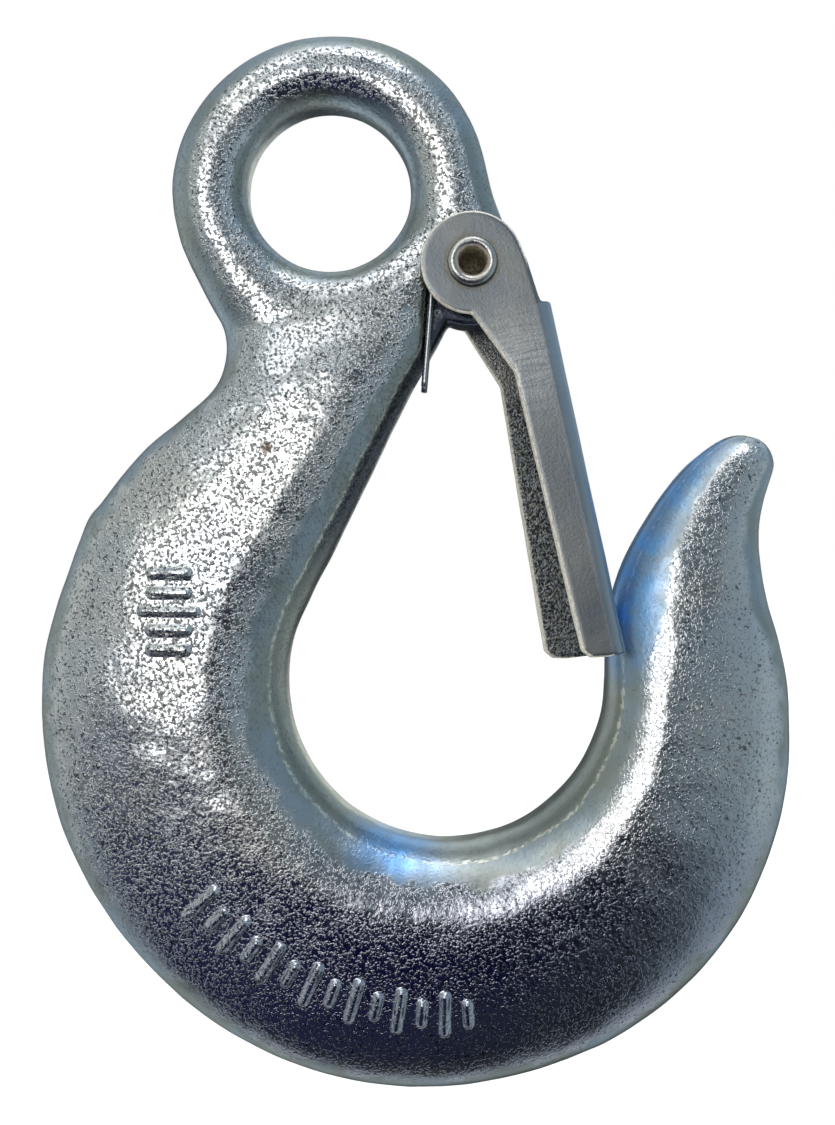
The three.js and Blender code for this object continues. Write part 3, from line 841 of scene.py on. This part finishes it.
class Shader:
    """Builds a node tree in short calls. A value is a number, a colour or another node's output."""

    def __init__(self, tree):
        self.tree = tree
        self.tree.nodes.clear()

    def node(self, kind, inputs=(), **settings):
        node = self.tree.nodes.new(kind)
        for key, value in settings.items():
            setattr(node, key, value)
        for key, value in dict(inputs).items():
            self.set(node.inputs[key], value)
        return node

    def set(self, socket, value):
        if isinstance(value, bpy.types.NodeSocket):
            self.tree.links.new(value, socket)
        elif isinstance(value, tuple) and len(value) == 3 and socket.type == "RGBA":
            socket.default_value = (*value, 1)
        else:
            socket.default_value = value

    def math(self, operation, *values):
        return self.node("ShaderNodeMath", enumerate(values), operation=operation).outputs[0]

    def plus(self, a, b):
        return self.math("ADD", a, b)

    def times(self, a, b):
        return self.math("MULTIPLY", a, b)

    def rest_of(self, share):
        """One less a share."""
        return self.math("SUBTRACT", 1.0, share)

    def vector(self, operation, *values, output=0):
        node = self.node("ShaderNodeVectorMath", enumerate(values), operation=operation)
        return node.outputs[output]

    def scaled(self, value, factor):
        inputs = {0: value, "Scale": factor}
        return self.node("ShaderNodeVectorMath", inputs, operation="SCALE").outputs[0]

    def mix(self, share, a, b, blend="MIX"):
        """Mixes two colours."""
        node = self.node("ShaderNodeMix", data_type="RGBA", blend_type=blend)
        for socket, value in ((0, share), (6, a), (7, b)):
            self.set(node.inputs[socket], value)
        return node.outputs[2]

    def ramp(self, value, low, high, start=0.0, end=1.0):
        inputs = {0: value, 1: low, 2: high, 3: start, 4: end}
        return self.node("ShaderNodeMapRange", inputs, interpolation_type="SMOOTHSTEP").outputs[0]

    def noise(self, where, size, detail=2.0, roughness=0.5):
        """Noise with features about `size` millimetres wide, from 0 to 1."""
        inputs = {"Vector": where, "Scale": 1 / size, "Detail": detail, "Roughness": roughness}
        return self.node("ShaderNodeTexNoise", inputs).outputs[0]

    def blotches(self, where, size, a, b):
        """Two colours in soft blotches."""
        return self.mix(self.ramp(self.noise(where, size), 0.35, 0.65), a, b)

    def streaks(self, where, stretch):
        """Fine noise drawn out by a scale along each axis."""
        drawn = self.node("ShaderNodeMapping", {"Vector": where, "Scale": stretch}).outputs[0]
        return self.noise(drawn, 1.0)

    def attribute(self, name):
        return self.node("ShaderNodeAttribute", attribute_name=name).outputs["Fac"]

    def place(self):
        """Position on the object in millimetres about the eye's centre."""
        raw = self.node("ShaderNodeTexCoord").outputs["Object"]
        return self.vector("SUBTRACT", self.scaled(raw, 1 / MM), tuple(EYE_CENTRE))

    def axes(self, where):
        """The three parts of a position."""
        return list(self.node("ShaderNodeSeparateXYZ", {0: where}).outputs)

    def near(self, where, centre, radius):
        """1 at a point, falling to 0 at a radius."""
        gap = self.vector("DISTANCE", where, tuple(centre), output=1)
        return self.ramp(gap, 0.0, radius, 1.0, 0.0)

    def bump(self, height, depth_mm=1.0):
        inputs = {"Strength": 1.0, "Distance": depth_mm * MM, "Height": height}
        return self.node("ShaderNodeBump", inputs).outputs[0]

    def finish(self, colour, roughness, normal, metallic=1.0, glow=0.0):
        inputs = {"Base Color": colour, "Metallic": metallic, "Roughness": roughness, "Normal": normal,
                  "Specular Tint": EDGE_TINT, "Emission Color": (1.0, 1.0, 1.0),
                  "Emission Strength": glow}
        principled = self.node("ShaderNodeBsdfPrincipled", inputs)
        output = self.node("ShaderNodeOutputMaterial")
        self.tree.links.new(principled.outputs[0], output.inputs[0])


def new_material(name):
    material = bpy.data.materials.new(name)
    material.use_nodes = True
    return material, Shader(material.node_tree)


# Spots on the forging and the sheet: a rust stain, a painted blue glint in the bowl, the rub at the
# elbow.
STAIN_SPOT = (-13.65, -7.0, -28.0)
BLUE_SPOT = (-10.5, -4.5, -76.0)
ELBOW_SPOT = PIVOT + (3.4, -WALL_OUTSIDE, -12.0)

# The blast pits deepen and take painted shade from the bowl's foot to the shank, along z - SHANK_LEAN *
# x.
SHANK_LEAN = 0.8
SHANK_REACH = (-85.0, -25.0)
PIT_DEPTH = (0.021, 0.062)
PIT_SHADE = (0.25, 0.8)

# Colours of the forging: its faces, the painted shade at its foot, its rims and the details on them.
FACE_COOL = (0.78, 0.81, 0.84)
FACE_WARM = (0.84, 0.84, 0.82)
FOOT_SHADE = (0.58, 0.60, 0.68)
RIM_OLIVE = (0.44, 0.47, 0.44)
RIM_BLUE = (0.48, 0.56, 0.62)
LAND = (0.42, 0.45, 0.41)
SHADE = (0.05, 0.06, 0.09)
SHADE_SPECK = (0.2, 0.22, 0.26)
TRIM = (0.98, 0.96, 0.84)
TIP_BLUE_REFLECTION = (0.24, 0.54, 1.0)
POCKET_SHADE = (0.13, 0.15, 0.2)
RUST = (0.17, 0.11, 0.07)


def forging_material():
    """Zinc plate over a blasted forging: bright pitted grain, smooth rims, faint painted blue
    reflections, painted shade at the foot, in the pits and in the spring pocket, a rust spot.
    """
    material, s = new_material("plated_forging")
    where = s.place()
    x, _, z = s.axes(where)
    grain, share = s.attribute("grain"), s.attribute("share")
    on_rim = s.ramp(grain, 0.0, 1.0, 1.0, 0.0)
    fine = s.noise(where, 0.36, roughness=0.6)
    coarse = s.noise(where, 0.8, detail=1.0)
    medium = s.noise(where, 1.8)
    patch = s.noise(where, 3.0)
    towards_shank = s.math("SUBTRACT", z, s.times(x, SHANK_LEAN))
    trim_line = s.times(s.ramp(share, 0.060, 0.067), s.ramp(share, 0.070, 0.077, 1.0, 0.0))
    trim_line = s.times(trim_line, s.ramp(coarse, 0.38, 0.62, 0.15, 1.0))

    # heights in millimetres: pits and coarse grain on the faces, shallow waves, the trim line
    depth = s.ramp(towards_shank, *SHANK_REACH, *PIT_DEPTH)
    height = s.plus(s.times(s.ramp(fine, 0.48, 0.67), depth), s.times(coarse, 0.03))
    height = s.times(height, s.ramp(grain, 0.0, 1.0, 0.35, 1.0))
    height = s.plus(s.plus(height, s.times(medium, 0.05)), s.times(trim_line, 0.02))

    # painted shade: the faces darken towards the foot of the bowl
    foot = s.ramp(s.plus(z, s.times(x, 0.15)), -88.0, -72.0, 1.0, 0.0)
    face = s.mix(foot, s.blotches(where, 9.0, FACE_COOL, FACE_WARM), FOOT_SHADE)

    # the rims end in an olive land inside the trim line, shaded along the shank
    rim = s.mix(s.ramp(share, 0.05, 0.09), LAND, s.blotches(where, 9.0, RIM_OLIVE, RIM_BLUE))
    shaded = s.times(s.ramp(share, 0.05, 0.075, 1.0, 0.0), s.ramp(z, -48.0, -36.0))
    rim = s.mix(s.times(shaded, 0.85), rim, s.mix(s.ramp(fine, 0.4, 0.6), SHADE, SHADE_SPECK))
    rim = s.mix(trim_line, rim, TRIM)

    # dark specks, and painted shade in the pits
    speck = s.plus(s.noise(where, 0.42, detail=1.5), s.times(patch, 0.35))
    pit_shade = s.times(s.ramp(fine, 0.55, 0.66), s.ramp(towards_shank, *SHANK_REACH, *PIT_SHADE))
    speck = s.times(s.ramp(speck, 0.47, 0.53, 0.35, 1.0), s.rest_of(pit_shade))
    dark = s.node("ShaderNodeCombineColor", {0: speck, 1: speck, 2: speck}).outputs[0]
    colour = s.mix(s.ramp(grain, 0.0, 1.0, 0.3, 1.0), s.mix(grain, rim, face), dark, blend="MULTIPLY")

    # painted blue reflections, painted shade in the spring pocket, and the rust stain
    glint = s.times(s.near(where, BLUE_SPOT, 8.0), on_rim)
    blue = s.times(s.math("MAXIMUM", s.attribute("blue"), glint), s.ramp(patch, 0.35, 0.65, 0.5, 0.95))
    colour = s.mix(blue, colour, TIP_BLUE_REFLECTION)
    # painted shade in the spring pocket
    colour = s.mix(s.times(s.attribute("pocket"), 0.85), colour, POCKET_SHADE)
    rust = s.times(s.near(where, STAIN_SPOT, 1.25), s.ramp(coarse, 0.3, 0.5, 0.5, 1.0))
    colour = s.mix(rust, colour, RUST)
    roughness = s.plus(s.ramp(medium, 0.3, 0.7, 0.1, 0.18), s.times(rust, 0.3))
    roughness = s.plus(roughness, s.times(on_rim, 0.2))
    s.finish(colour, roughness, s.bump(height))
    return material


# Colours of the sheet: the outside, its rubbed elbow, the painted reflection on its bends, the speckled
# inside with its painted shade and painted light, the cut edges and their painted highlight.
SHEET_COOL = (0.30, 0.33, 0.36)
SHEET_WARM = (0.34, 0.35, 0.35)
SHEET_DULL = (0.25, 0.28, 0.28)
SHEET_RUBBED = (0.66, 0.68, 0.68)
SHEET_BEND_REFLECTION = (0.56, 0.64, 0.72)
INSIDE_SPECK_SHADE = (0.05, 0.055, 0.06)
INSIDE_COOL = (0.32, 0.35, 0.37)
INSIDE_WARM = (0.38, 0.39, 0.36)
INSIDE_TOP_LIGHT = (0.75, 0.74, 0.68)
CUT_EDGE_AND_HIGHLIGHT = (0.92, 0.87, 0.74)
RING_STAIN = (0.26, 0.24, 0.17)


def sheet_material():
    """Satin zinc-plated sheet. The inside of the channel is speckled, darker with painted shade and
    lighter near the top with painted light.
    """
    material, s = new_material("plated_sheet")
    where = s.place()
    inside, radius = s.attribute("inside"), s.attribute("radius")
    fine = s.noise(where, 0.3, roughness=0.6)
    cloud = s.noise(where, 4.0, detail=3.0)
    mottle = s.noise(where, 1.1, detail=3.0)
    height = s.times(fine, s.ramp(inside, 0.0, 1.0, 0.1, 1.0))
    height = s.plus(height, s.times(s.streaks(where, (4.0, 1.0, 0.12)), 0.03))
    height = s.plus(height, s.times(cloud, 0.15))

    outer = s.mix(s.ramp(cloud, 0.35, 0.65), SHEET_COOL, SHEET_WARM)
    outer = s.mix(s.ramp(mottle, 0.3, 0.7, 0.0, 0.35), outer, SHEET_DULL)
    brushed = s.ramp(s.streaks(where, (0.4, 1.0, 5.0)), 0.35, 0.6, 0.35, 1.0)
    rub = s.times(s.near(where, ELBOW_SPOT, 9.0), brushed)
    outer = s.mix(s.times(rub, 0.7), outer, SHEET_RUBBED)
    # painted reflection: the bends are lighter and bluer
    outer = s.mix(s.times(s.attribute("bend"), 0.7), outer, SHEET_BEND_REFLECTION)

    # the inside: the sheet's own speckle, darkened as painted shade, with painted light near the top
    inner = s.mix(s.ramp(mottle, 0.4, 0.6), INSIDE_COOL, INSIDE_WARM)
    inner = s.mix(s.ramp(fine, 0.36, 0.62), INSIDE_SPECK_SHADE, inner)
    high = s.ramp(s.axes(where)[2], -30.0, -24.0)
    inner = s.mix(s.times(high, 0.35), inner, INSIDE_TOP_LIGHT)

    # the cut edges: bare metal, brightened further as a painted highlight, and less metallic so they
    # stay bright
    cut = s.times(s.attribute("cut"), s.ramp(fine, 0.3, 0.6, 0.55, 1.0))
    colour = s.mix(cut, s.mix(inside, outer, inner), CUT_EDGE_AND_HIGHLIGHT)
    ring = s.times(s.ramp(radius, 2.7, 2.9), s.ramp(radius, 3.0, 3.6, 1.0, 0.0))
    colour = s.mix(s.times(ring, 0.55), colour, RING_STAIN)
    roughness = s.ramp(cloud, 0.3, 0.7, 0.33, 0.38)
    s.finish(colour, roughness, s.bump(height, 0.15), metallic=s.rest_of(s.times(cut, 0.6)))
    return material


WIRE_DARK = (0.42, 0.44, 0.48)
WIRE_BRIGHT = (0.6, 0.61, 0.63)


def spring_material():
    """Drawn steel wire, slightly uneven in tone and gloss."""
    material, s = new_material("spring_wire")
    where = s.place()
    fine = s.noise(where, 0.3)
    colour = s.mix(s.noise(where, 2.0), WIRE_DARK, WIRE_BRIGHT)
    s.finish(colour, s.ramp(fine, 0.3, 0.7, 0.2, 0.34), s.bump(fine, 0.008))
    return material


RIVET_DULL = (0.6, 0.59, 0.56)
RIVET_BRIGHT = (0.74, 0.72, 0.67)
STAIN_DARK = (0.1, 0.08, 0.05)
STAIN_LIGHT = (0.40, 0.34, 0.24)


def rivet_material():
    """Bright rolled lip, with a brown stain in the hollow and beside the sheet."""
    material, s = new_material("rivet_steel")
    where = s.place()
    _, y, _ = s.axes(where)
    fine = s.noise(where, 0.35, detail=3.0)
    off = s.vector("SUBTRACT", where, (PIVOT[0], 0.0, PIVOT[2]))
    radius = s.vector("LENGTH", s.vector("MULTIPLY", off, (1.0, 0.0, 1.0)), output=1)
    hollow = s.times(s.ramp(radius, 1.62, 1.95, 1.0, 0.0), s.ramp(y, -1.0, 0.0, 1.0, 0.0))
    foot = s.times(s.ramp(radius, 2.55, 2.8), s.ramp(y, -7.1, -6.8))
    stain = s.math("MAXIMUM", hollow, s.times(foot, 0.5))
    stain = s.times(stain, s.ramp(fine, 0.2, 0.5, 0.75, 1.0))
    colour = s.mix(s.noise(where, 1.2), RIVET_DULL, RIVET_BRIGHT)
    colour = s.mix(stain, colour, s.mix(s.ramp(fine, 0.35, 0.65), STAIN_DARK, STAIN_LIGHT))
    roughness = s.plus(s.ramp(fine, 0.3, 0.7, 0.24, 0.36), s.times(stain, 0.25))
    s.finish(colour, roughness, s.bump(fine, 0.02), metallic=s.rest_of(s.times(hollow, 0.8)))
    return material


def dress(obj, material):
    """Smooth shading and the piece's own material."""
    obj.data.polygons.foreach_set("use_smooth", np.ones(len(obj.data.polygons), bool))
    obj.data.update()
    obj.data.materials.clear()
    obj.data.materials.append(material)


# ---- stage, light and camera ----

CAMERA_ROLL = math.radians(13.44)
CAMERA_PLACE = (-0.13, -165.0, -44.65)
CAMERA_LENS = 44.86
FLOOR_DROP = 250.0
FLOOR_RADIUS = 3000.0
FLOOR_TONES = ((0.93, 0.93, 0.93), (0.96, 0.96, 0.96))
FLOOR_GLOW = 0.2
SOFTBOX_PLACE = (60, -120, 420)
SOFTBOX_TARGET = (0, 0, -40)
SOFTBOX_SIZE = 300
SOFTBOX_WATTS = 0.12
SOFTBOX_COLOUR = (1.0, 0.99, 0.97)

# Light seen in the metal. Directions are (right, up, towards the camera) in the camera's turned view.
# Each is full within one angle of its direction and gone beyond another, both in degrees. GLOWS add a
# soft colour, FLAGS then take a share of the light away, and LAMPS add light that no flag dims.
FRONT_REACH = (84, 139)
FRONT_GLOW = (0.18, 0.22, 0.25)
BACK_GLOW = (0.50, 0.56, 0.60)
GLOWS = [
    ((0.50, 0.85, -0.10), 10, 70, (0.0, 0.04, 0.09)),
    ((-0.70, 0.45, 0.50), 10, 60, (0.15, 0.15, 0.11)),
    ((0.0, -0.70, -0.70), 20, 85, (0.26, 0.26, 0.25)),
    ((0.92, 0.10, 0.30), 10, 75, (0.05, 0.07, 0.08)),
    ((0.92, -0.22, 0.32), 8, 30, (0.09, 0.10, 0.10)),
    ((-0.98, 0.05, -0.15), 12, 40, (0.22, 0.21, 0.19)),
    ((0.0, 0.90, -0.43), 10, 60, (0.14, 0.14, 0.14)),
]
FLAGS = [
    ((-0.12, -0.71, 0.69), 28, 54, 0.90),
    ((0.0, -0.27, 0.96), 8, 20, 0.84),
    ((0.24, 0.22, 0.95), 5, 17, 0.50),
    ((-0.05, 0.70, 0.71), 5, 16, 0.50),
    ((0.0, -0.05, -1.0), 22, 50, 0.70),
    ((0.25, -0.50, -0.80), 16, 38, 0.75),
]
LAMPS = [
    ((-0.26, 0.11, 0.96), 9, 18, (2.4, 2.32, 2.25)),
    ((0.14, 0.88, 0.45), 8, 18, (2.2, 2.2, 2.25)),
    ((-0.30, 0.66, 0.69), 8, 17, (1.3, 1.3, 1.3)),
    ((-0.40, -0.50, 0.75), 10, 45, (0.0, 0.0, 0.03)),
    ((0.26, 0.14, -0.95), 8, 19, (2.6, 2.5, 2.4)),
    ((0.0, 0.76, -0.65), 8, 26, (0.45, 0.45, 0.47)),
]


def view_axes():
    """Right, up and towards the camera, in the turned view."""
    right = np.array([math.cos(CAMERA_ROLL), 0, -math.sin(CAMERA_ROLL)])
    up = np.array([math.sin(CAMERA_ROLL), 0, math.cos(CAMERA_ROLL)])
    return right, up, np.array([0, -1.0, 0])


def to_world(direction):
    right, up, near = view_axes()
    vector = direction[0] * right + direction[1] * up + direction[2] * near
    return vector / np.linalg.norm(vector)


def make_world():
    world = bpy.data.worlds.new("studio")
    world.use_nodes = True
    bpy.context.scene.world = world
    s = Shader(world.node_tree)
    ray = s.node("ShaderNodeTexCoord").outputs["Generated"]

    def cone(direction, full, gone):
        along = s.vector("DOT_PRODUCT", ray, tuple(to_world(direction)), output=1)
        return s.ramp(along, math.cos(math.radians(gone)), math.cos(math.radians(full)))

    def lit(colour, glows):
        for direction, full, gone, glow in glows:
            colour = s.vector("ADD", colour, s.scaled(glow, cone(direction, full, gone)))
        return colour

    colour = lit(s.mix(cone((0, 0, 1), *FRONT_REACH), BACK_GLOW, FRONT_GLOW), GLOWS)
    for direction, full, gone, darkening in FLAGS:
        covered = s.times(cone(direction, full, gone), darkening)
        colour = s.scaled(colour, s.rest_of(covered))
    colour = lit(colour, LAMPS)
    # the metal sees this light; the camera and dull surfaces see plain white
    path = s.node("ShaderNodeLightPath").outputs
    plain = s.math("MAXIMUM", path["Is Camera Ray"], path["Is Diffuse Ray"])
    background = s.node("ShaderNodeBackground", {0: s.mix(plain, colour, (1.0, 1.0, 1.0)), 1: 1.0})
    output = s.node("ShaderNodeOutputWorld")
    s.tree.links.new(background.outputs[0], output.inputs[0])


def make_floor():
    ring = circle((0, 0), FLOOR_RADIUS, 96)
    floor = new_object("floor", [(a, b, -FLOOR_DROP) for a, b in ring], [tuple(range(len(ring)))])
    material, s = new_material("floor")
    where = s.place()
    tone = s.mix(s.noise(where, 60.0), *FLOOR_TONES)
    s.finish(tone, 0.9, s.bump(s.noise(where, 3.0), 0.05), metallic=0.0, glow=FLOOR_GLOW)
    floor.data.materials.append(material)
    floor.visible_glossy = False


def make_light():
    """A soft disk of light above, in front and to the right."""
    light = bpy.data.lights.new("top_softbox", "AREA")
    light.shape = "DISK"
    light.size = SOFTBOX_SIZE * MM
    light.energy = SOFTBOX_WATTS
    light.color = SOFTBOX_COLOUR
    obj = bpy.data.objects.new("top_softbox", light)
    bpy.context.scene.collection.objects.link(obj)
    place = Vector((np.array(SOFTBOX_PLACE) + EYE_CENTRE) * MM)
    target = Vector((np.array(SOFTBOX_TARGET) + EYE_CENTRE) * MM)
    obj.location = place
    obj.rotation_euler = (target - place).to_track_quat("-Z", "Y").to_euler()


def make_camera():
    camera = bpy.data.cameras.new("camera")
    camera.lens = CAMERA_LENS
    camera.clip_start = 0.01
    obj = bpy.data.objects.new("camera", camera)
    bpy.context.scene.collection.objects.link(obj)
    columns = [*view_axes(), (np.array(CAMERA_PLACE) + EYE_CENTRE) * MM]
    matrix = Matrix.Identity(4)
    for row in range(3):
        matrix[row] = [column[row] for column in columns]
    obj.matrix_world = matrix
    bpy.context.scene.camera = obj


# ---- assembly ----

hook = make_hook()
dress(hook, forging_material())
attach(hook, "hook")
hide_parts("hook_body")

latch = make_latch()
dress(latch, sheet_material())
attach(latch, "latch")
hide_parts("latch")

rivet = make_rivet()
dress(rivet, rivet_material())
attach(rivet, "latch")
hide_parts("pivot_rivet")

spring = make_spring()
dress(spring, spring_material())
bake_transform(spring)
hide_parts("latch_spring")

make_world()
make_floor()
make_light()
make_camera()
bpy.context.scene.view_settings.view_transform = "Standard"
